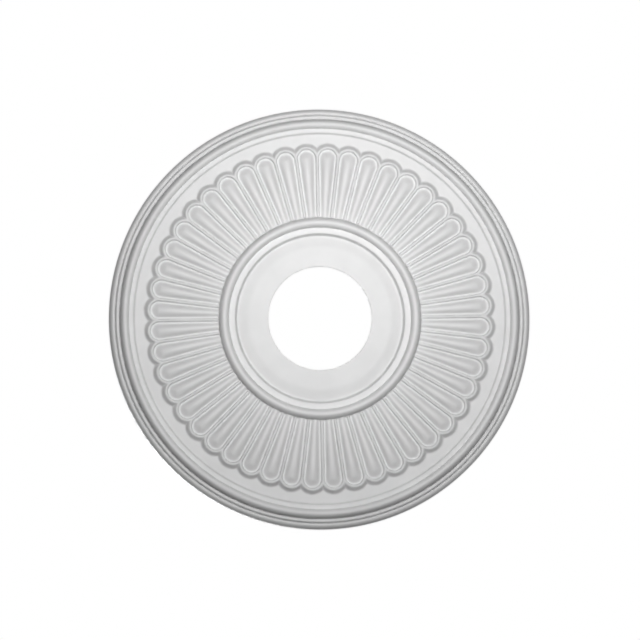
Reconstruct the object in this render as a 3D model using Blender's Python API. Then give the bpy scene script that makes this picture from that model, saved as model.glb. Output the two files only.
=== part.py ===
"""Ceiling rose: one round moulded casting with a round hole through its middle.

It hangs face down. The flat back lies in the plane z = 0 against the ceiling, the axis of
the rose is the Z axis, and the relief stands towards -Z. All lengths are metres.
Heights are measured down from the back plane, so a point of height h has z = -h.
"""

import math

import bmesh
import bpy
from mathutils import Matrix
from mathutils import Vector

# Overall size
OUTER_DIAMETER = 0.4000
HOLE_DIAMETER = 0.0984
TOTAL_DEPTH = 0.0190
HOLE_BACK_FLARE = 0.0030

# Hub, stacked outward from the hole
DISC_FLAT_WIDTH = 0.0172
DISC_SLOPE_WIDTH = 0.01225
HUB_STEP_WIDTH = 0.0025
HUB_BAND_WIDTH = 0.0053
HUB_TORUS_WIDTH = 0.00995
DISC_HEIGHT = 0.0129
DISC_SLOPE_DROP = 0.0013
HUB_BAND_HEIGHT = 0.0145
HUB_FOOT_HEIGHT = 0.0138

# Rim, stacked inward from the outer edge
LOWER_BEAD_WIDTH = 0.00555
UPPER_BEAD_WIDTH = 0.00415
RIM_TORUS_WIDTH = 0.0091
RIM_BAND_WIDTH = 0.00345
RIM_STEP_WIDTH = 0.0021
FLAT_RING_WIDTH = 0.00765
EDGE_WALL_HEIGHT = 0.0072
LOWER_BEAD_HEIGHT = 0.0107
LOWER_GROOVE_HEIGHT = 0.0096
UPPER_BEAD_HEIGHT = 0.0121
UPPER_GROOVE_HEIGHT = 0.0108
RIM_TORUS_HEIGHT = 0.0168
RIM_BAND_HEIGHT = 0.0128
FLAT_RING_HEIGHT = 0.0112
LOWER_BEAD_CREST_SHARE = 0.27
UPPER_BEAD_CREST_SHARE = 0.55

# Flutes: a rib in a sunk channel, framed by a raised border with a round lobe at its end
FLUTE_COUNT = 48
FLUTE_GAP = 0.0010
LOBE_SLOPE_WIDTH = 0.0037
LOBE_FULLNESS = 1.154
BORDER_SIDE_WIDTH = 0.00075
BORDER_END_WIDTH = 0.0018
CHANNEL_WALL_SIDE = 0.00105
CHANNEL_WALL_END = 0.0016
CHANNEL_FLOOR_WIDTH = 0.0013
BORDER_INNER_HEIGHT = 0.0146
BORDER_OUTER_HEIGHT = 0.0142
CHANNEL_INNER_DEPTH = 0.0015
CHANNEL_OUTER_DEPTH = 0.0020
RIB_INNER_RISE = 0.0011
RIB_OUTER_RISE = 0.0023
RIB_PROFILE_POWER = 2.0
RIB_END_FALL_LENGTH = 0.0220
RIB_END_FALL_START = 0.0117

# Facets
LOBE_SEGMENTS = 4
FRAME_SEGMENTS = 4
RIB_FOOT_SEGMENTS = 3
RIB_MIDDLE_SEGMENTS = 2
TORUS_ANGLES = (135.0, 90.0, 45.0)
EDGE_ROUND_ANGLES = (50.0,)
WELD_DISTANCE = 0.00001
SHARP_ANGLE = 28.0

# Lines worked out from the sizes above
HALF_CELL = math.pi / FLUTE_COUNT
OUTER_RADIUS = OUTER_DIAMETER / 2
HOLE_RADIUS = HOLE_DIAMETER / 2
DISC_FLAT_EDGE = HOLE_RADIUS + DISC_FLAT_WIDTH
DISC_EDGE = DISC_FLAT_EDGE + DISC_SLOPE_WIDTH
HUB_BAND_START = DISC_EDGE + HUB_STEP_WIDTH
HUB_TORUS_START = HUB_BAND_START + HUB_BAND_WIDTH
HUB_TORUS_EDGE = HUB_TORUS_START + HUB_TORUS_WIDTH
FLUTE_START = HUB_TORUS_EDGE + FLUTE_GAP
UPPER_BEAD_EDGE = OUTER_RADIUS - LOWER_BEAD_WIDTH
RIM_TORUS_EDGE = UPPER_BEAD_EDGE - UPPER_BEAD_WIDTH
RIM_TORUS_START = RIM_TORUS_EDGE - RIM_TORUS_WIDTH
RIM_BAND_START = RIM_TORUS_START - RIM_BAND_WIDTH
FLAT_RING_EDGE = RIM_BAND_START - RIM_STEP_WIDTH
LOBE_FOOT_TIP = FLAT_RING_EDGE - FLAT_RING_WIDTH
LOBE_TOP_TIP = LOBE_FOOT_TIP - LOBE_SLOPE_WIDTH
LOBE_REACH = LOBE_FULLNESS * math.sin(HALF_CELL)
LOBE_CENTRE = LOBE_TOP_TIP / (1 + LOBE_REACH)
LOBE_RADIUS = LOBE_TOP_TIP - LOBE_CENTRE
WALL_TOP_RADIUS = LOBE_RADIUS - BORDER_END_WIDTH
WALL_FOOT_RADIUS = WALL_TOP_RADIUS - CHANNEL_WALL_END
RIB_FOOT_RADIUS = WALL_FOOT_RADIUS - CHANNEL_FLOOR_WIDTH
WALL_TOP_OFFSET = BORDER_SIDE_WIDTH
WALL_FOOT_OFFSET = WALL_TOP_OFFSET + CHANNEL_WALL_SIDE
RIB_FOOT_OFFSET = WALL_FOOT_OFFSET + CHANNEL_FLOOR_WIDTH


def between(start, end, share):
    """Value at a share of the way from start to end."""
    return start + (end - start) * share


def along_flute(radius):
    """Share of the way from the hub torus to the lobes' tips."""
    return (radius - FLUTE_START) / (LOBE_TOP_TIP - FLUTE_START)


def border_height(point):
    """Height of the raised border at a point of the flute panel."""
    return between(BORDER_INNER_HEIGHT, BORDER_OUTER_HEIGHT, along_flute(point.length))


def floor_height(point):
    """Height of the sunk channel's floor."""
    depth = between(CHANNEL_INNER_DEPTH, CHANNEL_OUTER_DEPTH, along_flute(point.length))
    return border_height(point) - depth


def rib_height(point, share):
    """Height of the rib's skin at a share of its half width, 0 at the crest and 1 at the foot."""
    fall_start = LOBE_CENTRE - RIB_END_FALL_START
    fall = max(0.0, point.y - fall_start) / RIB_END_FALL_LENGTH
    grown = min(1.0, max(0.0, (point.y - FLUTE_START) / (fall_start - FLUTE_START)))
    rise = between(RIB_INNER_RISE, RIB_OUTER_RISE, grown) * (1 - fall ** 2)
    return floor_height(point) + rise * (1 - share ** RIB_PROFILE_POWER)


def placed(points, height_of):
    """Points of the flute plane, set at their heights."""
    return [Vector((p.x, p.y, -height_of(p))) for p in points]


def sized_arc(half_width, reach, segments):
    """Quarter ellipse about the lobe's centre, from its widest point to its tip."""
    points = []
    for step in range(segments + 1):
        turn = math.pi / 2 * step / segments
        x = half_width * math.cos(turn)
        points.append(Vector((x, LOBE_CENTRE + reach * math.sin(turn))))
    return points


def frame_line(offset, reach, segments, share=1.0):
    """Line beside the flute's border: straight at a fixed offset, then round the lobe."""
    turn = HALF_CELL - math.asin(offset / FLUTE_START)
    start = Vector((FLUTE_START * math.sin(turn) * share, FLUTE_START * math.cos(turn)))
    if share < 1.0:
        start.y = math.sqrt(FLUTE_START ** 2 - start.x ** 2)
    half_width = LOBE_CENTRE * math.tan(HALF_CELL) - offset / math.cos(HALF_CELL)
    return [start] + sized_arc(half_width * share, reach * share, segments)


def lobe_line(radius, segments):
    """Arc of a lobe from the flute's boundary to its axis."""
    widest = HALF_CELL + math.asin(LOBE_CENTRE * math.sin(HALF_CELL) / radius)
    points = []
    for step in range(segments + 1):
        turn = widest * (1 - step / segments)
        x = radius * math.sin(turn)
        points.append(Vector((x, LOBE_CENTRE + radius * math.cos(turn))))
    return points


def add_line(bm, points):
    """Vertices for a list of points."""
    return [bm.verts.new(point) for point in points]


def lengths_along(line):
    """Share of the whole length reached at each vertex of a line."""
    reached = [0.0]
    for first, second in zip(line, line[1:]):
        reached.append(reached[-1] + (second.co - first.co).length)
    return [value / reached[-1] for value in reached]


def stitch(bm, left, right):
    """Strip of triangles between two lines that may have unlike numbers of vertices."""
    left_share = lengths_along(left)
    right_share = lengths_along(right)
    i = 0
    j = 0
    while i < len(left) - 1 or j < len(right) - 1:
        step_left = j == len(right) - 1
        if not step_left and i < len(left) - 1:
            step_left = left_share[i + 1] <= right_share[j + 1]
        if step_left:
            corners = (left[i], left[i + 1], right[j])
            i += 1
        else:
            corners = (left[i], right[j + 1], right[j])
            j += 1
        if len(set(corners)) == len(corners):
            bm.faces.new(corners)


def torus_rows(start, edge, crest):
    """Profile points of a half-round moulding between its two feet, each a radius and a height."""
    middle = (start[0] + edge[0]) / 2
    half = (edge[0] - start[0]) / 2
    rows = [start]
    for degrees in TORUS_ANGLES:
        turn = math.radians(degrees)
        foot = start[1] if degrees > 90 else edge[1]
        rows.append((middle + half * math.cos(turn), foot + (crest - foot) * math.sin(turn)))
    rows.append(edge)
    return rows


def edge_round_rows(crest, edge):
    """Profile points of the quarter round from a bead's crest down to the outer wall."""
    rows = [crest]
    for degrees in EDGE_ROUND_ANGLES:
        turn = math.radians(degrees)
        radius = between(crest[0], edge[0], math.sin(turn))
        rows.append((radius, between(edge[1], crest[1], math.cos(turn))))
    rows.append(edge)
    return rows


def hub_profile():
    """Radius and height pairs from the hole out to the hub torus."""
    rows = [
        (HOLE_RADIUS, DISC_HEIGHT),
        (DISC_FLAT_EDGE, DISC_HEIGHT),
        (DISC_EDGE, DISC_HEIGHT - DISC_SLOPE_DROP),
        (HUB_BAND_START, HUB_BAND_HEIGHT),
    ]
    rows += torus_rows(
        (HUB_TORUS_START, HUB_BAND_HEIGHT), (HUB_TORUS_EDGE, HUB_FOOT_HEIGHT), TOTAL_DEPTH
    )
    return rows


def rim_profile():
    """Radius and height pairs from the flat ring out to the edge on the back plane."""
    rows = [
        (FLAT_RING_EDGE, FLAT_RING_HEIGHT),
        (RIM_BAND_START, RIM_BAND_HEIGHT),
    ]
    rows += torus_rows(
        (RIM_TORUS_START, RIM_BAND_HEIGHT), (RIM_TORUS_EDGE, UPPER_GROOVE_HEIGHT), RIM_TORUS_HEIGHT
    )
    upper_crest = between(RIM_TORUS_EDGE, UPPER_BEAD_EDGE, UPPER_BEAD_CREST_SHARE)
    rows.append((upper_crest, UPPER_BEAD_HEIGHT))
    rows.append((UPPER_BEAD_EDGE, LOWER_GROOVE_HEIGHT))
    lower_crest = between(UPPER_BEAD_EDGE, OUTER_RADIUS, LOWER_BEAD_CREST_SHARE)
    rows += edge_round_rows((lower_crest, LOWER_BEAD_HEIGHT), (OUTER_RADIUS, EDGE_WALL_HEIGHT))
    rows.append((OUTER_RADIUS, 0.0))
    return rows


def spin_rings(bm):
    """Half a flute's width of every plain ring, the back and the hole's wall.

    The profile starts at the flat ring, runs round the edge, the back and the hole, and ends
    on the hub torus. Returns the two end rows, axis vertex first.
    """
    rows = rim_profile() + [(HOLE_RADIUS + HOLE_BACK_FLARE, 0.0)] + hub_profile()
    line = add_line(bm, [Vector((0.0, radius, -height)) for radius, height in rows])
    edges = [bm.edges.new(pair) for pair in zip(line, line[1:])]
    ends = (line[0], line[-1])
    made = bmesh.ops.spin(
        bm, geom=line + edges, cent=(0, 0, 0), axis=(0, 0, 1), dvec=(0, 0, 0),
        angle=-HALF_CELL, steps=1, use_duplicate=False,
    )
    turned = [item for item in made["geom_last"] if isinstance(item, bmesh.types.BMVert)]
    turn = Matrix.Rotation(-HALF_CELL, 3, "Z")
    pairs = []
    for end in ends:
        target = turn @ end.co
        pairs.append([end, min(turned, key=lambda vert: (vert.co - target).length)])
    return pairs


def loft_flute(bm, flat_row, torus_row):
    """Skin of half a flute, from its border on the cell's edge to its axis."""
    lobe_foot = add_line(
        bm, placed(lobe_line(LOBE_RADIUS + LOBE_SLOPE_WIDTH, LOBE_SEGMENTS), lambda p: FLAT_RING_HEIGHT)
    )
    edge_start = Vector((FLUTE_START * math.sin(HALF_CELL), FLUTE_START * math.cos(HALF_CELL)))
    edge = add_line(
        bm, placed([edge_start] + lobe_line(LOBE_RADIUS, LOBE_SEGMENTS), border_height)
    )
    wall_top = add_line(
        bm, placed(frame_line(WALL_TOP_OFFSET, WALL_TOP_RADIUS, FRAME_SEGMENTS), border_height)
    )
    wall_foot = add_line(
        bm, placed(frame_line(WALL_FOOT_OFFSET, WALL_FOOT_RADIUS, FRAME_SEGMENTS), floor_height)
    )
    rib_foot = add_line(
        bm, placed(frame_line(RIB_FOOT_OFFSET, RIB_FOOT_RADIUS, RIB_FOOT_SEGMENTS), floor_height)
    )
    rib_middle = add_line(
        bm, placed(
            frame_line(RIB_FOOT_OFFSET, RIB_FOOT_RADIUS, RIB_MIDDLE_SEGMENTS, 0.5),
            lambda p: rib_height(p, 0.5),
        )
    )
    fall_start = LOBE_CENTRE - RIB_END_FALL_START
    crest_points = [Vector((0, FLUTE_START)), Vector((0, fall_start)), Vector((0, LOBE_CENTRE))]
    crest = add_line(bm, placed(crest_points, lambda p: rib_height(p, 0.0)))
    stitch(bm, flat_row, lobe_foot)
    stitch(bm, lobe_foot, edge[1:])
    for outer, inner in zip(
        (edge, wall_top, wall_foot, rib_foot), (wall_top, wall_foot, rib_foot, rib_middle)
    ):
        stitch(bm, outer, inner)
    stitch(bm, rib_middle, crest + [rib_middle[-1]])
    inner_end = [line[0] for line in (edge, wall_top, wall_foot, rib_foot, rib_middle, crest)]
    stitch(bm, torus_row, inner_end)
    return inner_end


def mirror_half(bm):
    """The other half of the cell, across the plane of the flute's axis."""
    made = bmesh.ops.duplicate(bm, geom=bm.verts[:] + bm.edges[:] + bm.faces[:])
    copies = [item for item in made["geom"] if isinstance(item, bmesh.types.BMVert)]
    bmesh.ops.scale(bm, vec=(-1, 1, 1), verts=copies)
    bmesh.ops.remove_doubles(bm, verts=bm.verts[:], dist=WELD_DISTANCE)


def repeat_cell(bm):
    """All cells round the axis, welded into one closed body."""
    count = FLUTE_COUNT - 1
    bmesh.ops.spin(
        bm, geom=bm.verts[:] + bm.edges[:] + bm.faces[:], cent=(0, 0, 0), axis=(0, 0, 1),
        dvec=(0, 0, 0), angle=2 * math.pi * count / FLUTE_COUNT, steps=count, use_duplicate=True,
    )
    bmesh.ops.remove_doubles(bm, verts=bm.verts[:], dist=WELD_DISTANCE)
    bmesh.ops.recalc_face_normals(bm, faces=bm.faces[:])


def rose_mesh():
    """Mesh of the whole casting."""
    bm = bmesh.new()
    flat_pair, torus_pair = spin_rings(bm)
    loft_flute(bm, [flat_pair[1], flat_pair[0]], [torus_pair[1], torus_pair[0]])
    mirror_half(bm)
    repeat_cell(bm)
    mesh = bpy.data.meshes.new("rose_casting")
    bm.to_mesh(mesh)
    bm.free()
    mesh.shade_smooth()
    mesh.set_sharp_from_angle(angle=math.radians(SHARP_ANGLE))
    return mesh


def casting_material():
    """Matt white priming coat."""
    material = bpy.data.materials.new("white_primer")
    material.use_nodes = True
    shader = material.node_tree.nodes["Principled BSDF"]
    shader.inputs["Base Color"].default_value = (0.82, 0.82, 0.81, 1.0)
    shader.inputs["Roughness"].default_value = 0.7
    return material


def clear_scene():
    """Start from an empty scene."""
    for thing in list(bpy.data.objects):
        bpy.data.objects.remove(thing, do_unlink=True)


def main():
    """Build the ceiling rose."""
    clear_scene()
    group = bpy.data.collections.new("ceiling_rose")
    bpy.context.scene.collection.children.link(group)
    rose = bpy.data.objects.new("rose_casting", rose_mesh())
    rose.data.materials.append(casting_material())
    group.objects.link(rose)


main()
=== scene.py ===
"""Fluted ceiling rose: the finished casting, its white priming coat and a plain stage.

The rose hangs face down with its flat back in the plane z = 0. Heights are measured down
from the back plane, so a point of height h has z = -h. All lengths are metres.
"""

import math

import bmesh
import bpy
from bpy.props import FloatProperty, FloatVectorProperty, IntProperty, PointerProperty
from mathutils import Matrix, Vector


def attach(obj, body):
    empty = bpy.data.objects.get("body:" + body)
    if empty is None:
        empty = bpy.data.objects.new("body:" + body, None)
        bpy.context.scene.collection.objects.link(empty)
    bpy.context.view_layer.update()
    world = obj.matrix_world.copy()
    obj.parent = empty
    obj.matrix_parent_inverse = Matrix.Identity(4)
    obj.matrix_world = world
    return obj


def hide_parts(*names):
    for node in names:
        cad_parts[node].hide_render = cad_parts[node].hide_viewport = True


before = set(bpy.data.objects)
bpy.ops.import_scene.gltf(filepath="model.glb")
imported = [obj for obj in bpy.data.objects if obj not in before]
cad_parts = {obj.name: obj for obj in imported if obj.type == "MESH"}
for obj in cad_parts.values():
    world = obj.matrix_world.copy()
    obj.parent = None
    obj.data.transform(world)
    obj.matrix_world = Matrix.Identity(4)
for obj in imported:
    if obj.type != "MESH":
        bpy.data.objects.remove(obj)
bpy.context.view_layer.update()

bl_info = {
    "name": "Fluted ceiling rose",
    "version": (1, 0, 0),
    "blender": (4, 5, 0),
    "location": "3D View > Sidebar > Rose",
    "description": "Moulded ceiling rose with ribbed flutes, beaded rim and a plain stage",
    "category": "Add Mesh",
}

MM = 0.001

# Rounding at the start and end of each step, as shares of its width
SEAT_EASE = (0.35, 0.02)
HUB_STEP_EASE = (0.2, 0.2)
RIM_STEP_EASE = (0.15, 0.4)
WALL_EASE = (0.25, 0.35)
LOBE_EASE = (0.3, 0.5)

# Segments across each form, and the half-rounds' first and last angles in degrees
HOLE_LIP_STEPS = 4
HUB_STEP_STEPS = 8
RIM_STEP_STEPS = 7
HALF_ROUND_STEPS = 20
HUB_ROUND_ANGLES = (180, 4)
RIM_ROUND_ANGLES = (180, 3)
BEAD_RISE_STEPS = 4
BEAD_FALL_STEPS = 9
BACK_SHARES = (0.02, 0.5, 0.98, 1.0)

# Narrow strips that keep the flats flat beside the rounded forms, and the outer edge's bevel
BAND_STRIP = 0.3 * MM
RING_STRIP = 0.4 * MM
EDGE_BEVEL = 0.1 * MM

# Zones across half a flute: its border, the channel's wall, the channel's floor and the rib
BORDER, WALL, BED, RIB = range(4)

# Places across half a flute, each a zone and the share of the way through it
ACROSS = (
    (BORDER, 0.0), (BORDER, 0.45), (BORDER, 1.0),
    (WALL, 0.14), (WALL, 0.3), (WALL, 0.5), (WALL, 0.75), (WALL, 0.88), (WALL, 1.0),
    (BED, 0.12), (BED, 0.5), (BED, 0.88),
    (RIB, 0.0), (RIB, 0.07), (RIB, 0.2), (RIB, 0.34), (RIB, 0.48), (RIB, 0.62), (RIB, 0.75),
    (RIB, 0.86), (RIB, 0.94), (RIB, 1.0),
)

# Places along a flute's straight part and down the slope outside its lobe
STRAIGHT_SHARES = (0.0, 0.02, 0.2, 0.4, 0.6, 0.75, 0.83, 0.9, 0.95, 1.0)
SLOPE_SHARES = (0.08, 0.18, 0.3, 0.42, 0.54, 0.66, 0.78, 0.9, 1.0, 1.06)

# Segments beside and round the lobe, and across half a cell of the plain rings
SIDE_STEPS = 3
LOBE_STEPS = 12
RING_STEPS = 2

# Rounds of correction for a point whose width and place along the flute depend on each other
STRAIGHT_ROUNDS = 4

# Keeps the lobe's edge line clear of a division by zero
TINY = 1e-12

# Weld distances within a cell and between cells, and the angle from which an edge stays sharp
CELL_WELD = 0.002 * MM
RING_WELD = 0.004 * MM
SHARP_ANGLE = math.radians(50.0)

# Texture of the coat, and the heights between which it gives way to the bare back
GRAIN_DETAIL = 3.0
MOTTLE_SCALE = 38.0
MOTTLE_DETAIL = 4.0
MOTTLE_SPREAD = (0.3, 0.7)
MOTTLE_TONES = (0.975, 1.02)
RAREST_PITS = (0.80, 1.0)
LARGEST_PIT = 0.035
# Darkening of the colour inside the pits is painted shade in the dents; PIT_DEPTH dents them for real
PIT_PAINTED_SHADE = -0.35
PIT_DEPTH = -3.0
COAT_RELIEF = 0.04
COAT_THICKNESS = 0.1 * MM
BACK_FADE = (-0.6 * MM, -0.1 * MM)

# Height of a direction, below the horizon's 0, at which only the lower light is left
LIGHT_FADE = -0.3

# Floor and backdrop
FLOOR_COLOUR = (0.05, 0.05, 0.05, 1.0)
FLOOR_ROUGHNESS = 0.9
WHITE = (1.0, 1.0, 1.0, 1.0)


def length(name, description, millimetres):
    """A size in metres, given in millimetres."""
    return FloatProperty(
        name=name, description=description, default=millimetres * MM, unit="LENGTH",
        subtype="DISTANCE", precision=5,
    )


def ratio(name, description, value):
    """A plain factor."""
    return FloatProperty(name=name, description=description, default=value, subtype="FACTOR")


def turn(name, description, degrees):
    """An angle, given in degrees."""
    return FloatProperty(
        name=name, description=description, default=math.radians(degrees), unit="ROTATION",
        subtype="ANGLE",
    )


def colour(name, description, values):
    """A surface colour."""
    return FloatVectorProperty(
        name=name, description=description, default=values, subtype="COLOR", min=0.0, max=1.0
    )


class HubSizes(bpy.types.PropertyGroup):
    """Rings between the hole and the flutes."""

    outer_diameter: length("Outer diameter", "Rose across its back", 400.0)
    hole_diameter: length("Hole diameter", "Hole at the front", 98.4)
    total_depth: length("Total depth", "Back plane to the crest of the hub moulding", 19.0)
    hole_flare: length("Hole flare", "How much wider the hole is at the back, each side", 3.0)
    hole_lip: length("Hole lip", "Rounding of the hole's front edge", 0.5)
    disc_flat: length("Disc flat", "Flat seat round the hole", 17.2)
    disc_slope: length("Disc slope", "Gently falling ring outside the seat", 12.25)
    disc_height: length("Disc height", "Height of the seat", 12.9)
    disc_drop: length("Disc drop", "Fall of the sloping ring", 1.3)
    step: length("Step", "Width of the step up to the band", 2.5)
    band: length("Band", "Width of the band inside the moulding", 5.3)
    band_height: length("Band height", "Height of the band", 14.5)
    foot_height: length("Foot height", "Height of the moulding's outer foot", 13.0)
    torus: length("Half round", "Width of the hub's half-round moulding", 9.95)


class RimSizes(bpy.types.PropertyGroup):
    """Rings between the flutes and the outer edge."""

    shoulder_height: length("Shoulder height", "Top of the outer edge's upright wall", 7.2)
    lower_bead: length("Lower bead", "Width of the outer bead", 5.55)
    lower_bead_height: length("Lower bead height", "Crest of the outer bead", 10.7)
    lower_bead_crest: ratio("Lower bead crest", "Crest's share of the outer bead's width", 0.27)
    lower_groove_height: length("Lower groove height", "Bottom of the groove between beads", 9.9)
    upper_bead: length("Upper bead", "Width of the inner bead", 4.15)
    upper_bead_height: length("Upper bead height", "Crest of the inner bead", 12.1)
    upper_bead_crest: ratio("Upper bead crest", "Crest's share of the inner bead's width", 0.55)
    upper_groove_height: length("Upper groove height", "Groove inside the beads", 11.1)
    torus: length("Half round", "Width of the rim's half-round moulding", 9.1)
    torus_height: length("Half round height", "Crest of the rim's half-round moulding", 16.8)
    band: length("Band", "Width of the raised band", 3.45)
    band_height: length("Band height", "Height of the raised band", 12.8)
    step: length("Step", "Width of the step up to the band", 2.1)
    flat: length("Flat ring", "Width of the flat ring outside the lobes", 7.65)
    flat_height: length("Flat ring height", "Height of the flat ring", 11.2)


class FluteSizes(bpy.types.PropertyGroup):
    """Ribs, channels and scalloped borders of the flutes."""

    count: IntProperty(name="Flutes", description="Flutes round the rose", default=48, min=8)
    gap: length("Gap", "Hub moulding's foot to the flutes' start", 0.5)
    lobe_slope: length("Lobe slope", "Width of the slope outside a lobe", 3.7)
    lobe_round: length("Lobe rounding", "Rounding of the lobe's top edge", 0.9)
    lobe_fullness: ratio("Lobe fullness", "Lobe radius over half the flute's width", 1.154)
    border_side: length("Border at the side", "Half the border between two channels", 0.75)
    border_end: length("Border at the end", "Border between channel and lobe edge", 1.8)
    wall_side: length("Channel wall", "Width of the channel's side wall", 1.05)
    wall_end: length("Channel end wall", "Width of the channel's end wall", 1.6)
    floor: length("Channel floor", "Width of the channel's floor", 1.3)
    border_inner: length("Border height inside", "Border height at the hub", 14.6)
    border_outer: length("Border height outside", "Border height at the lobes", 14.2)
    depth_inner: length("Channel depth inside", "Channel depth at the hub", 1.5)
    depth_outer: length("Channel depth outside", "Channel depth at the lobes", 2.0)
    rib_rise: length("Rib rise", "Rib above its channel at the hub", 1.1)
    rib_rise_outer: length("Rib rise outside", "Rib above its channel where its end starts to fall", 2.3)
    border_crown: length("Border crown", "Rounding of the border's top", 0.08)
    rib_power: ratio("Rib roundness", "1 gives a roof, 2 a parabola", 2.0)
    fall_length: length("Rib end fall", "Length over which a rib would fall to nothing", 22.0)
    fall_start: length("Rib end fall start", "Where the fall starts, before the lobe's centre", 11.7)


class FinishSettings(bpy.types.PropertyGroup):
    """Colours and surface texture of the priming coat."""

    primer: colour("Primer", "White priming coat", (0.78, 0.78, 0.78))
    foam: colour("Back", "Unprimed back of the casting", (0.74, 0.72, 0.66))
    roughness: ratio("Roughness", "Roughness of the primer", 0.62)
    refraction: ratio("Refraction", "Index of refraction of the primer", 1.8)
    gloss: ratio("Gloss", "Strength of the primer's sheen", 1.0)
    grain: length("Grain", "Size of the coat's fine texture", 0.9)
    pit_spacing: length("Pit spacing", "Mean spacing of small casting pits", 24.0)


class StageSettings(bpy.types.PropertyGroup):
    """Camera, lights and floor."""

    distance: length("Camera distance", "Camera to the back plane", 6000)
    frame_width: length("Frame width", "Width seen at the back plane", 608.6)
    centre_right: length("Centre right", "Picture's centre right of the rose's centre", 0.75)
    centre_up: length("Centre up", "Picture's centre above the rose's centre", -0.45)
    tilt: turn("Camera tilt", "Camera off the rose's axis", 5.8)
    tilt_towards: turn("Tilt direction", "Direction of the tilt in the picture, from its left", 53.9)
    roll: turn("Roll", "First flute clockwise from the top of the picture", 2.7)
    floor_drop: length("Floor", "Floor below the rose", 6500.0)
    floor_reach: length("Floor reach", "Middle of the floor to its edge", 60000.0)
    floor_tone: ratio("Floor tone", "Brightness of the floor in the picture", 0.89)
    contrast: ratio("Picture gamma", "Below 1 darkens the middle tones", 0.72)
    softening: ratio("Softening", "Softening of the finished picture", 0.45)
    lower_light: ratio("Lower light", "Strength of the surroundings below the rose", 0.03)
    upper_light: ratio("Upper light", "Strength of the surroundings beside and above it", 0.33)
    key_power: FloatProperty(name="Key light", description="Watts of the soft key light", default=2.79)
    back_power: FloatProperty(name="Back light", description="Watts of the back's light", default=1.6)
    back_size: length("Back light size", "Diameter of the back's light", 700.0)
    back_spread: turn("Back light spread", "How wide the back light's beam is", 40.0)
    back_place: FloatVectorProperty(
        name="Back light place", description="Where the back's light hangs, above the rose",
        default=(0.3, -0.4, 1.4), unit="LENGTH", subtype="TRANSLATION",
    )
    key_size: length("Key size", "Diameter of the key light", 210.0)
    key_spread: turn("Key spread", "How wide the key light's beam is", 106)
    key_distance: length("Key distance", "Key light to the back plane", 1000.0)
    key_up: length("Key up", "Key light above the middle of the picture", 90)
    key_right: length("Key right", "Key light right of the middle of the picture", 29)
    key_aim_up: length("Key aim up", "Middle of the key light's beam above the middle", 110)
    key_aim_right: length("Key aim right", "Middle of the key light's beam right of the middle", 27)


def ease(share, ramp_in, ramp_out):
    """Smooth rise from 0 to 1 with a straight middle between two rounded ends."""
    peak = 1 / (1 - (ramp_in + ramp_out) / 2)
    if share < ramp_in:
        return peak * share ** 2 / (2 * ramp_in)
    if share > 1 - ramp_out:
        return 1 - peak * (1 - share) ** 2 / (2 * ramp_out)
    return peak * (share - ramp_in / 2)


def between(start, end, share):
    """Value at a share of the way from start to end."""
    return start + (end - start) * share


def eased_rows(start, end, ramps, steps):
    """Profile from one radius and height to another, rounded at both ends."""
    rows = []
    for step in range(1, steps + 1):
        share = step / steps
        rows.append((
            between(start[0], end[0], share),
            between(start[1], end[1], ease(share, *ramps)),
        ))
    return rows


def half_round_rows(start, end, crest, angles):
    """Half-round moulding between two feet, from one angle to another."""
    middle = (start[0] + end[0]) / 2
    half = (end[0] - start[0]) / 2
    rows = []
    for step in range(HALF_ROUND_STEPS + 1):
        angle = math.radians(between(*angles, step / HALF_ROUND_STEPS))
        foot = start[1] if angle > math.pi / 2 else end[1]
        rows.append((middle + half * math.cos(angle), foot + (crest - foot) * math.sin(angle)))
    return rows


def hub_rows(hub):
    """Radius and height pairs from the hole out to the foot of the hub moulding."""
    hole = hub.hole_diameter / 2
    lip = hub.hole_lip
    seat_edge = hole + hub.disc_flat
    slope_edge = seat_edge + hub.disc_slope
    band_start = slope_edge + hub.step
    torus_start = band_start + hub.band
    torus_edge = torus_start + hub.torus
    slope_height = hub.disc_height - hub.disc_drop
    rows = [(hole, hub.disc_height - lip)]
    for step in range(1, HOLE_LIP_STEPS + 1):
        angle = math.pi / 2 * step / HOLE_LIP_STEPS
        rows.append((hole + lip * (1 - math.cos(angle)), hub.disc_height - lip * (1 - math.sin(angle))))
    rows.append((hole + 2 * lip, hub.disc_height))
    seat = (seat_edge - lip, hub.disc_height)
    slope_end = (slope_edge, slope_height)
    rows.append(seat)
    rows += eased_rows(seat, slope_end, SEAT_EASE, HUB_STEP_STEPS)
    rows += eased_rows(slope_end, (band_start, hub.band_height), HUB_STEP_EASE, HUB_STEP_STEPS)
    rows.append((band_start + BAND_STRIP, hub.band_height))
    rows += half_round_rows(
        (torus_start, hub.band_height), (torus_edge, hub.foot_height), hub.total_depth, HUB_ROUND_ANGLES
    )
    return rows, torus_edge


def rim_rows(hub, rim):
    """Radius and height pairs from the flat ring to the edge on the back plane."""
    outer = hub.outer_diameter / 2
    upper_edge = outer - rim.lower_bead
    torus_edge = upper_edge - rim.upper_bead
    torus_start = torus_edge - rim.torus
    band_start = torus_start - rim.band
    flat_edge = band_start - rim.step
    flat = (flat_edge, rim.flat_height)
    upper_groove = (torus_edge, rim.upper_groove_height)
    lower_groove = (upper_edge, rim.lower_groove_height)
    shoulder = (outer - EDGE_BEVEL, rim.shoulder_height)
    rows = [(flat_edge - RING_STRIP, rim.flat_height), flat]
    rows += eased_rows(flat, (band_start, rim.band_height), RIM_STEP_EASE, RIM_STEP_STEPS)
    rows.append((band_start + BAND_STRIP, rim.band_height))
    rows += half_round_rows(
        (torus_start, rim.band_height), upper_groove, rim.torus_height, RIM_ROUND_ANGLES
    )
    rows.append(upper_groove)
    rows += bead_rows(upper_groove, rim.upper_bead_height, rim.upper_bead_crest, lower_groove)
    rows += bead_rows(lower_groove, rim.lower_bead_height, rim.lower_bead_crest, shoulder)
    rows.append((outer, 0.0))
    return rows, flat_edge


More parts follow.
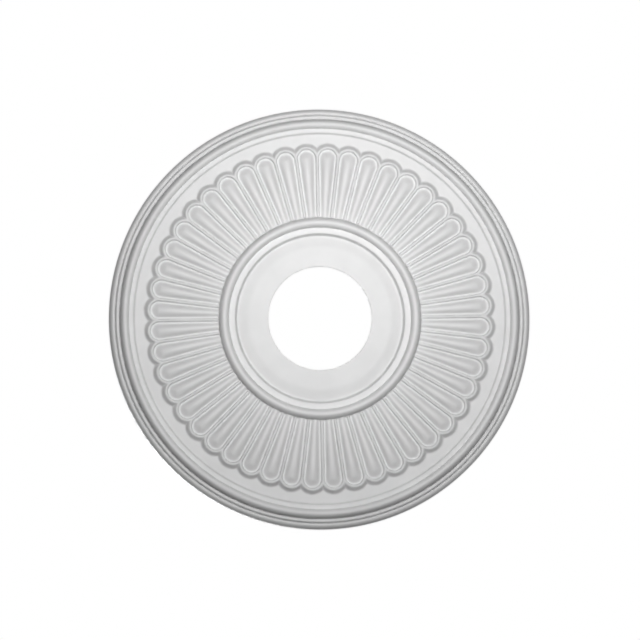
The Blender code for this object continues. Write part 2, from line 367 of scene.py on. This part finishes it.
def bead_rows(start, crest, crest_share, end):
    """Small bead: a gentle swell up from its inner groove and a quarter round down to the next."""
    peak = between(start[0], end[0], crest_share)
    rows = []
    for step in range(1, BEAD_RISE_STEPS + 1):
        share = step / BEAD_RISE_STEPS
        rows.append((between(start[0], peak, share), between(start[1], crest, math.sin(math.pi / 2 * share))))
    for step in range(1, BEAD_FALL_STEPS + 1):
        angle = math.pi / 2 * step / BEAD_FALL_STEPS
        rows.append((between(peak, end[0], math.sin(angle)), between(end[1], crest, math.cos(angle))))
    return rows


def ring_grid(bm, rows, half_cell, steps):
    """Sector of revolved rings. Each row runs from the cell's edge to the flute's axis."""
    lines = []
    for radius, height in rows:
        line = []
        for step in range(steps + 1):
            angle = half_cell * (1 - step / steps)
            line.append(bm.verts.new((radius * math.sin(angle), radius * math.cos(angle), -height)))
        lines.append(line)
    for first, second in zip(lines, lines[1:]):
        quads(bm, first, second)
    return lines


def quads(bm, first, second):
    """Strip of faces between two lines with like numbers of vertices."""
    for i in range(len(first) - 1):
        corners = []
        for corner in (first[i], first[i + 1], second[i + 1], second[i]):
            if corner not in corners:
                corners.append(corner)
        if len(corners) > 2:
            bm.faces.new(corners)


def stitch(bm, left, right):
    """Strip of triangles between two lines with unlike numbers of vertices."""
    i = 0
    j = 0
    while i < len(left) - 1 or j < len(right) - 1:
        next_left = (i + 1) / (len(left) - 1) if len(left) > 1 else 2
        next_right = (j + 1) / (len(right) - 1) if len(right) > 1 else 2
        if i < len(left) - 1 and (j == len(right) - 1 or next_left <= next_right):
            bm.faces.new((left[i], left[i + 1], right[j]))
            i += 1
        else:
            bm.faces.new((left[i], right[j + 1], right[j]))
            j += 1


class FlutePlan:
    """Plan and heights of half a flute, from its border on the cell's edge to its axis."""

    def __init__(self, flute, start_radius, foot_tip):
        self.flute = flute
        self.half_cell = math.pi / flute.count
        self.start = start_radius
        self.top_tip = foot_tip - flute.lobe_slope
        reach = flute.lobe_fullness * math.sin(self.half_cell)
        self.centre = self.top_tip / (1 + reach)
        self.lobe = self.top_tip - self.centre
        self.crest = self.lobe - flute.lobe_round
        self.cusp = math.pi / 2 - self.boundary_angle(self.crest)
        wall_top = self.lobe - flute.border_end
        wall_foot = wall_top - flute.wall_end
        rib_foot = wall_foot - flute.floor
        self.reaches = (wall_top, wall_foot, rib_foot)
        side = flute.border_side
        self.offsets = (side, side + flute.wall_side, side + flute.wall_side + flute.floor)

    def boundary_angle(self, radius):
        """Angle from the axis at which a circle about the lobe's centre meets the cell's edge."""
        return self.half_cell + math.asin(self.centre * math.sin(self.half_cell) / radius)

    def along(self, radius):
        """Share of the way from the hub to the lobes' tips."""
        return (radius - self.start) / (self.top_tip - self.start)

    def border_height(self, radius):
        """Height of the border."""
        return between(self.flute.border_inner, self.flute.border_outer, self.along(radius))

    def depth(self, radius):
        """Depth of the channel below the border."""
        return between(self.flute.depth_inner, self.flute.depth_outer, self.along(radius))

    def straight_point(self, share, zone, place):
        """Point of the straight part: share of its length, zone across it, place in the zone."""
        x, y = 0.0, between(self.start, self.centre, share)
        for _ in range(STRAIGHT_ROUNDS):
            y = between(math.sqrt(self.start ** 2 - x ** 2), self.centre, share)
            edge = y * math.tan(self.half_cell)
            lines = [edge] + [edge - offset / math.cos(self.half_cell) for offset in self.offsets] + [0.0]
            x = between(lines[zone], lines[zone + 1], place)
        return x, y

    def round_point(self, angle, zone, place):
        """Point of the lobe at an angle from its side, in a zone and at a place in it."""
        cos = math.cos(angle)
        sin = math.sin(angle)
        edge_line = self.centre * math.tan(self.half_cell) / (cos - sin * math.tan(self.half_cell) + TINY)
        outline = edge_line if angle < self.cusp else self.crest
        radii = [outline]
        half_width = self.centre * math.tan(self.half_cell)
        for offset, reach in zip(self.offsets, self.reaches):
            side = half_width - offset / math.cos(self.half_cell)
            radii.append(side * reach / math.hypot(reach * cos, side * sin))
        radii.append(0.0)
        radius = between(radii[zone], radii[zone + 1], place)
        return radius * cos, self.centre + radius * sin

    def height(self, point, zone, place):
        """Height at a place across the flute."""
        radius = math.hypot(*point)
        border = self.border_height(radius)
        if zone == BORDER:
            return border - self.flute.border_crown * place ** 2
        depth = self.depth(radius)
        if zone == WALL:
            edge = self.flute.border_crown
            return border - edge - (depth - edge) * ease(place, *WALL_EASE)
        if zone == BED:
            return border - depth
        fall_start = self.centre - self.flute.fall_start
        fall = max(0.0, point[1] - fall_start) / self.flute.fall_length
        grown = min(1.0, (point[1] - self.start) / (fall_start - self.start))
        full = between(self.flute.rib_rise, self.flute.rib_rise_outer, grown)
        rise = full * (1 - fall ** 2)
        return border - depth + rise * (1 - (1 - place) ** self.flute.rib_power)


def flute_lines(bm, plan):
    """Lines of vertices along half a flute, outermost first."""
    lines = []
    apex = None
    for zone, place in ACROSS:
        line = []
        for share in STRAIGHT_SHARES:
            point = plan.straight_point(share, zone, place)
            line.append(bm.verts.new((*point, -plan.height(point, zone, place))))
        if zone == RIB and place == 1.0:
            apex = line[-1]
            line += [apex] * (SIDE_STEPS + LOBE_STEPS)
        else:
            angles = [plan.cusp * step / SIDE_STEPS for step in range(1, SIDE_STEPS + 1)]
            angles += [
                between(plan.cusp, math.pi / 2, step / LOBE_STEPS) for step in range(1, LOBE_STEPS + 1)
            ]
            for angle in angles:
                point = plan.round_point(angle, zone, place)
                line.append(bm.verts.new((*point, -plan.height(point, zone, place))))
        lines.append(line)
    return lines


def slope_lines(bm, plan, flat_height):
    """Lines down the slope outside a lobe, each from the cell's edge to the axis."""
    lines = []
    end = plan.lobe + plan.flute.lobe_slope
    for share in SLOPE_SHARES:
        radius = between(plan.crest, end, share)
        widest = plan.boundary_angle(radius)
        line = []
        for step in range(LOBE_STEPS + 1):
            angle = widest * (1 - step / LOBE_STEPS)
            x = radius * math.sin(angle)
            y = plan.centre + radius * math.cos(angle)
            top = plan.border_height(math.hypot(x, y))
            fall = 1.0 if share > 1 else ease(share, *LOBE_EASE)
            line.append(bm.verts.new((x, y, -between(top, flat_height, fall))))
        lines.append(line)
    return lines


def cell_mesh(hub, rim, flute):
    """One sector of the casting, open at its sides: half a flute and its mirror image."""
    bm = bmesh.new()
    half_cell = math.pi / flute.count
    inner, torus_edge = hub_rows(hub)
    outer, flat_edge = rim_rows(hub, rim)
    hole_back = hub.hole_diameter / 2 + hub.hole_flare
    back = [(between(hub.outer_diameter / 2, hole_back, share), 0.0) for share in BACK_SHARES]
    rings = ring_grid(bm, outer + back + inner, half_cell, RING_STEPS)
    plan = FlutePlan(flute, torus_edge + flute.gap, flat_edge - rim.flat)
    lines = flute_lines(bm, plan)
    for first, second in zip(lines, lines[1:]):
        quads(bm, first, second)
    slopes = slope_lines(bm, plan, rim.flat_height)
    cusp_index = len(STRAIGHT_SHARES) - 1 + SIDE_STEPS
    quads(bm, lines[0][cusp_index:], slopes[0])
    for first, second in zip(slopes, slopes[1:]):
        quads(bm, first, second)
    stitch(bm, slopes[-1], rings[0])
    stitch(bm, rings[-1], [line[0] for line in lines])
    made = bmesh.ops.duplicate(bm, geom=bm.verts[:] + bm.edges[:] + bm.faces[:])
    copies = [item for item in made["geom"] if isinstance(item, bmesh.types.BMVert)]
    bmesh.ops.scale(bm, vec=(-1, 1, 1), verts=copies)
    copied = [item for item in made["geom"] if isinstance(item, bmesh.types.BMFace)]
    bmesh.ops.reverse_faces(bm, faces=copied)
    bmesh.ops.remove_doubles(bm, verts=bm.verts[:], dist=CELL_WELD)
    mesh = bpy.data.meshes.new("flute_cell")
    bm.to_mesh(mesh)
    bm.free()
    return mesh


def ring_tree():
    """Node tree that sets a cell round the axis and welds the cells into one body."""
    tree = bpy.data.node_groups.new("cells_round_axis", "GeometryNodeTree")
    face = tree.interface
    face.new_socket("Cell", in_out="INPUT", socket_type="NodeSocketGeometry")
    face.new_socket("Cells", in_out="INPUT", socket_type="NodeSocketInt")
    face.new_socket("Weld distance", in_out="INPUT", socket_type="NodeSocketFloat")
    face.new_socket("Coat", in_out="INPUT", socket_type="NodeSocketMaterial")
    face.new_socket("Casting", in_out="OUTPUT", socket_type="NodeSocketGeometry")
    nodes = tree.nodes
    link = tree.links.new
    given = nodes.new("NodeGroupInput")
    result = nodes.new("NodeGroupOutput")
    points = nodes.new("GeometryNodePoints")
    index = nodes.new("GeometryNodeInputIndex")
    step = nodes.new("ShaderNodeMath")
    step.operation = "DIVIDE"
    step.inputs[0].default_value = 2 * math.pi
    angle = nodes.new("ShaderNodeMath")
    angle.operation = "MULTIPLY"
    axis = nodes.new("ShaderNodeCombineXYZ")
    rotation = nodes.new("FunctionNodeEulerToRotation")
    instances = nodes.new("GeometryNodeInstanceOnPoints")
    realize = nodes.new("GeometryNodeRealizeInstances")
    weld = nodes.new("GeometryNodeMergeByDistance")
    coat = nodes.new("GeometryNodeSetMaterial")
    link(given.outputs["Cells"], points.inputs["Count"])
    link(given.outputs["Cells"], step.inputs[1])
    link(index.outputs["Index"], angle.inputs[0])
    link(step.outputs["Value"], angle.inputs[1])
    link(angle.outputs["Value"], axis.inputs["Z"])
    link(axis.outputs["Vector"], rotation.inputs["Euler"])
    link(points.outputs[0], instances.inputs["Points"])
    link(given.outputs["Cell"], instances.inputs["Instance"])
    link(rotation.outputs["Rotation"], instances.inputs["Rotation"])
    link(instances.outputs["Instances"], realize.inputs["Geometry"])
    link(realize.outputs["Geometry"], weld.inputs["Geometry"])
    link(given.outputs["Weld distance"], weld.inputs["Distance"])
    link(weld.outputs["Geometry"], coat.inputs["Geometry"])
    link(given.outputs["Coat"], coat.inputs["Material"])
    link(coat.outputs["Geometry"], result.inputs["Casting"])
    return tree


def set_inputs(modifier, values):
    """Sets a node modifier's inputs by their sockets' identifiers."""
    for item in modifier.node_group.interface.items_tree:
        if item.in_out == "INPUT" and item.name in values:
            modifier[item.identifier] = values[item.name]


def ranged(tree, source, given, wanted, smooth=False):
    """Maps one range of a socket's values to another, and gives the new socket."""
    node = tree.nodes.new("ShaderNodeMapRange")
    if smooth:
        node.interpolation_type = "SMOOTHSTEP"
    node.inputs["From Min"].default_value = given[0]
    node.inputs["From Max"].default_value = given[1]
    node.inputs["To Min"].default_value = wanted[0]
    node.inputs["To Max"].default_value = wanted[1]
    tree.links.new(source, node.inputs["Value"])
    return node.outputs["Result"]


def scaled_sum(tree, source, factor, added):
    """A socket's value times a factor, plus another socket's value."""
    node = tree.nodes.new("ShaderNodeMath")
    node.operation = "MULTIPLY_ADD"
    node.inputs[1].default_value = factor
    tree.links.new(source, node.inputs[0])
    tree.links.new(added, node.inputs[2])
    return node.outputs["Value"]


def noise(tree, place, scale, detail):
    """Even noise at a place."""
    node = tree.nodes.new("ShaderNodeTexNoise")
    node.inputs["Scale"].default_value = scale
    node.inputs["Detail"].default_value = detail
    tree.links.new(place, node.inputs["Vector"])
    return node.outputs["Fac"]


def pits(tree, place, spacing):
    """1 inside the coat's few tiny pits and 0 outside; the pits are dented and also darkened with painted
    shade. Only the rarest cells hold one.
    """
    cells = tree.nodes.new("ShaderNodeTexVoronoi")
    cells.inputs["Scale"].default_value = 1 / spacing
    tree.links.new(place, cells.inputs["Vector"])
    split = tree.nodes.new("ShaderNodeSeparateColor")
    tree.links.new(cells.outputs["Color"], split.inputs["Color"])
    radius = ranged(tree, split.outputs["Red"], RAREST_PITS, (0.0, LARGEST_PIT))
    inside = ranged(tree, cells.outputs["Distance"], (0.0, 1.0), (1.0, 0.0), smooth=True)
    tree.links.new(radius, inside.node.inputs["From Max"])
    return inside


def primed_colour(tree, place, finish):
    """The primer's colour, which gives way to the bare foam's at the back plane."""
    split = tree.nodes.new("ShaderNodeSeparateXYZ")
    tree.links.new(place, split.inputs["Vector"])
    base = tree.nodes.new("ShaderNodeMix")
    base.data_type = "RGBA"
    base.inputs["A"].default_value = (*finish.primer, 1.0)
    base.inputs["B"].default_value = (*finish.foam, 1.0)
    tree.links.new(ranged(tree, split.outputs["Z"], BACK_FADE, (0.0, 1.0)), base.inputs["Factor"])
    return base.outputs["Result"]


def primer_material(finish):
    """White priming coat with a faint grain, soft mottling and a few casting pits, dented and darkened with
    painted shade.
    """
    material = bpy.data.materials.new("white_primer")
    material.use_nodes = True
    tree = material.node_tree
    link = tree.links.new
    shader = tree.nodes["Principled BSDF"]
    shader.inputs["Roughness"].default_value = finish.roughness
    shader.inputs["IOR"].default_value = finish.refraction
    shader.inputs["Specular IOR Level"].default_value = finish.gloss
    place = tree.nodes.new("ShaderNodeTexCoord").outputs["Object"]
    grain = noise(tree, place, 1 / finish.grain, GRAIN_DETAIL)
    mottle = noise(tree, place, MOTTLE_SCALE, MOTTLE_DETAIL)
    pit = pits(tree, place, finish.pit_spacing)
    shade = tree.nodes.new("ShaderNodeMix")
    shade.data_type = "RGBA"
    shade.blend_type = "MULTIPLY"
    shade.inputs["Factor"].default_value = 1.0
    link(primed_colour(tree, place, finish), shade.inputs["A"])
    tone = ranged(tree, mottle, MOTTLE_SPREAD, MOTTLE_TONES)
    # Mottled tone, darkened inside the pits with painted shade
    link(scaled_sum(tree, pit, PIT_PAINTED_SHADE, tone), shade.inputs["B"])
    link(shade.outputs["Result"], shader.inputs["Base Color"])
    bump = tree.nodes.new("ShaderNodeBump")
    bump.inputs["Strength"].default_value = COAT_RELIEF
    bump.inputs["Distance"].default_value = COAT_THICKNESS
    link(scaled_sum(tree, pit, PIT_DEPTH, grain), bump.inputs["Height"])
    link(bump.outputs["Normal"], shader.inputs["Normal"])
    return material


def plain_object(name, mesh):
    """An object at the origin, linked to the scene."""
    thing = bpy.data.objects.new(name, mesh)
    bpy.context.scene.collection.objects.link(thing)
    return thing


class ROSE_OT_casting(bpy.types.Operator):
    """Make the casting: one cell of the relief, set round the axis and welded"""

    bl_idname = "rose.casting"
    bl_label = "Casting"

    def execute(self, context):
        scene = context.scene
        hub, rim, flute = scene.rose_hub, scene.rose_rim, scene.rose_flute
        rose = plain_object("rose_casting_relief", cell_mesh(hub, rim, flute))
        coat = primer_material(scene.rose_finish)
        modifier = rose.modifiers.new("Cells", "NODES")
        modifier.node_group = ring_tree()
        set_inputs(modifier, {"Cells": flute.count, "Weld distance": RING_WELD, "Coat": coat})
        rose.update_tag()
        depsgraph = context.evaluated_depsgraph_get()
        mesh = bpy.data.meshes.new_from_object(rose.evaluated_get(depsgraph), depsgraph=depsgraph)
        rose.modifiers.remove(modifier)
        cell = rose.data
        rose.data = mesh
        bpy.data.meshes.remove(cell)
        bm = bmesh.new()
        bm.from_mesh(mesh)
        bmesh.ops.recalc_face_normals(bm, faces=bm.faces[:])
        open_edges = sum(1 for edge in bm.edges if len(edge.link_faces) != 2)
        bm.to_mesh(mesh)
        bm.free()
        if open_edges:
            raise RuntimeError(f"the casting has {open_edges} open edges")
        mesh.shade_smooth()
        mesh.set_sharp_from_angle(angle=SHARP_ANGLE)
        mesh.materials.clear()
        mesh.materials.append(coat)
        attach(rose, "root")
        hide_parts("rose_casting")
        return {"FINISHED"}


def picture_axes(roll):
    """The picture's right and up directions in the rose's plane, seen from below."""
    right = Vector((-math.cos(roll), math.sin(roll), 0.0))
    up = Vector((math.sin(roll), math.cos(roll), 0.0))
    return right, up


def aim(thing, direction, up):
    """Turns a camera or light to look along a direction with a given up."""
    back = -direction.normalized()
    right = up.cross(back).normalized()
    true_up = back.cross(right)
    turned = Matrix((right, true_up, back)).transposed().to_4x4()
    thing.matrix_world = Matrix.Translation(thing.location) @ turned


def make_camera(stage):
    """Camera at the photograph's angle, a little off the axis and aimed at the rose."""
    right, up = picture_axes(stage.roll)
    lean = -right * math.cos(stage.tilt_towards) - up * math.sin(stage.tilt_towards)
    towards = Vector((0.0, 0.0, -1.0)) * math.cos(stage.tilt) + lean * math.sin(stage.tilt)
    middle = right * stage.centre_right + up * stage.centre_up
    data = bpy.data.cameras.new("view")
    data.sensor_width = 36.0
    data.lens = data.sensor_width / (stage.frame_width / stage.distance)
    data.clip_end = 200.0
    camera = bpy.data.objects.new("view", data)
    bpy.context.scene.collection.objects.link(camera)
    camera.location = middle + towards * stage.distance
    aim(camera, -towards, up)
    bpy.context.scene.camera = camera


def make_light(name, location, direction, up, size, power, spread):
    """A round soft light."""
    data = bpy.data.lights.new(name, "AREA")
    data.shape = "DISK"
    data.size = size
    data.energy = power
    data.spread = spread
    lamp = bpy.data.objects.new(name, data)
    bpy.context.scene.collection.objects.link(lamp)
    lamp.location = location
    aim(lamp, direction, up)
    lamp.visible_camera = False


def make_floor(stage):
    """Plain pale floor, far below the rose."""
    bm = bmesh.new()
    bmesh.ops.create_grid(bm, x_segments=1, y_segments=1, size=stage.floor_reach)
    mesh = bpy.data.meshes.new("floor")
    bm.to_mesh(mesh)
    bm.free()
    floor = plain_object("floor", mesh)
    floor.location.z = -stage.floor_drop
    material = bpy.data.materials.new("pale_floor")
    material.use_nodes = True
    tree = material.node_tree
    shader = tree.nodes["Principled BSDF"]
    shader.inputs["Base Color"].default_value = FLOOR_COLOUR
    shader.inputs["Roughness"].default_value = FLOOR_ROUGHNESS
    shader.inputs["Emission Color"].default_value = WHITE
    ray = tree.nodes.new("ShaderNodeLightPath").outputs["Is Camera Ray"]
    glow = ranged(tree, ray, (0.0, 1.0), (stage.lower_light, stage.floor_tone))
    tree.links.new(glow, shader.inputs["Emission Strength"])
    mesh.materials.append(material)


def soften_picture(stage):
    """Slight softening of the finished picture, which smooths its finest lines."""
    scene = bpy.context.scene
    scene.use_nodes = True
    tree = scene.node_tree
    tree.nodes.clear()
    layers = tree.nodes.new("CompositorNodeRLayers")
    soften = tree.nodes.new("CompositorNodeFilter")
    soften.filter_type = "SOFTEN"
    soften.inputs["Fac"].default_value = stage.softening
    result = tree.nodes.new("CompositorNodeComposite")
    tree.links.new(layers.outputs["Image"], soften.inputs["Image"])
    tree.links.new(soften.outputs["Image"], result.inputs["Image"])


def make_world(stage):
    """White surroundings, dimmer as a light than as a backdrop."""
    world = bpy.data.worlds.new("studio")
    world.use_nodes = True
    tree = world.node_tree
    shade = tree.nodes["Background"]
    shade.inputs["Color"].default_value = WHITE
    ray = tree.nodes.new("ShaderNodeLightPath").outputs["Is Camera Ray"]
    split = tree.nodes.new("ShaderNodeSeparateXYZ")
    direction = tree.nodes.new("ShaderNodeTexCoord").outputs["Generated"]
    tree.links.new(direction, split.inputs["Vector"])
    level = ranged(tree, split.outputs["Z"], (LIGHT_FADE, 0.0), (stage.lower_light, stage.upper_light))
    strength = ranged(tree, ray, (0.0, 1.0), (0.0, 1.0))
    tree.links.new(level, strength.node.inputs["To Min"])
    tree.links.new(strength, shade.inputs["Strength"])
    bpy.context.scene.world = world


class ROSE_OT_stage(bpy.types.Operator):
    """Set up the camera, the soft lights, the surroundings and the floor"""

    bl_idname = "rose.stage"
    bl_label = "Stage"

    def execute(self, context):
        stage = context.scene.rose_stage
        make_camera(stage)
        right, up = picture_axes(stage.roll)
        key = right * stage.key_right + up * stage.key_up + Vector((0, 0, -stage.key_distance))
        lit = right * stage.key_aim_right + up * stage.key_aim_up
        make_light("key", key, lit - key, up, stage.key_size, stage.key_power, stage.key_spread)
        back = Vector(stage.back_place)
        make_light("overhead", back, -back, up, stage.back_size, stage.back_power, stage.back_spread)
        make_floor(stage)
        make_world(stage)
        soften_picture(stage)
        context.scene.view_settings.view_transform = "Standard"
        context.scene.view_settings.gamma = stage.contrast
        return {"FINISHED"}


class ROSE_PT_panel(bpy.types.Panel):
    """Steps and sizes of the ceiling rose"""

    bl_label = "Ceiling rose"
    bl_idname = "ROSE_PT_panel"
    bl_space_type = "VIEW_3D"
    bl_region_type = "UI"
    bl_category = "Rose"

    def draw(self, context):
        layout = self.layout
        for step in (ROSE_OT_casting, ROSE_OT_stage):
            layout.operator(step.bl_idname)
        for group in GROUPS:
            box = layout.box()
            settings = getattr(context.scene, group)
            for name in settings.__annotations__:
                box.prop(settings, name)


GROUPS = {
    "rose_hub": HubSizes,
    "rose_rim": RimSizes,
    "rose_flute": FluteSizes,
    "rose_finish": FinishSettings,
    "rose_stage": StageSettings,
}
CLASSES = (*GROUPS.values(), ROSE_OT_casting, ROSE_OT_stage, ROSE_PT_panel)


def register():
    """Registers the classes and hangs the sizes on the scene."""
    for item in CLASSES:
        bpy.utils.register_class(item)
    for name, group in GROUPS.items():
        setattr(bpy.types.Scene, name, PointerProperty(type=group))


def unregister():
    """Takes the sizes and classes away again."""
    for name in GROUPS:
        delattr(bpy.types.Scene, name)
    for item in reversed(CLASSES):
        bpy.utils.unregister_class(item)


def main():
    """Makes the rose and its stage."""
    register()
    bpy.ops.rose.casting()
    bpy.ops.rose.stage()


if __name__ == "__main__":
    main()
